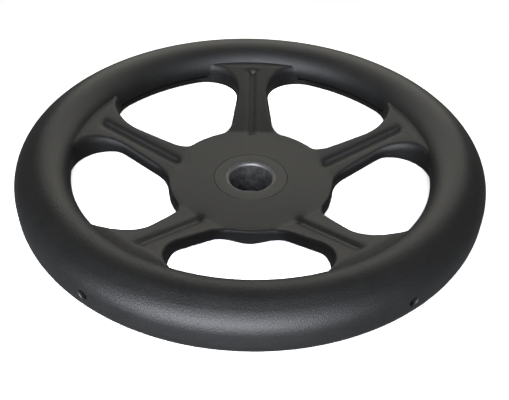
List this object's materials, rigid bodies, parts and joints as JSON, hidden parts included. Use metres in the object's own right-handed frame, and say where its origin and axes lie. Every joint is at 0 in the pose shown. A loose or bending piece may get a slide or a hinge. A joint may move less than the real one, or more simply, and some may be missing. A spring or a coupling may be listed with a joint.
{
  "type": "machine handwheel",
  "caption": "Dished spoked handwheel moulded in black plastic over a steel boss, turned by its thick rounded rim to drive a machine shaft.",
  "frame": {"origin": "on the wheel's axis, in the plane of the boss's lower end, on which the wheel stands", "axes": "+Z along the bore axis, out of the operator's side; +Y along one spoke"},
  "size_m": [0.25, 0.25, 0.0458],
  "materials": {
    "black_plastic": "fine-grained matte moulding",
    "boss_steel": "turned, blackened faces with a bright bore chamfer"
  },
  "bodies": {
    "root": {"moulded_wheel": "black_plastic", "steel_boss": "boss_steel"}
  },
  "joints": []
}
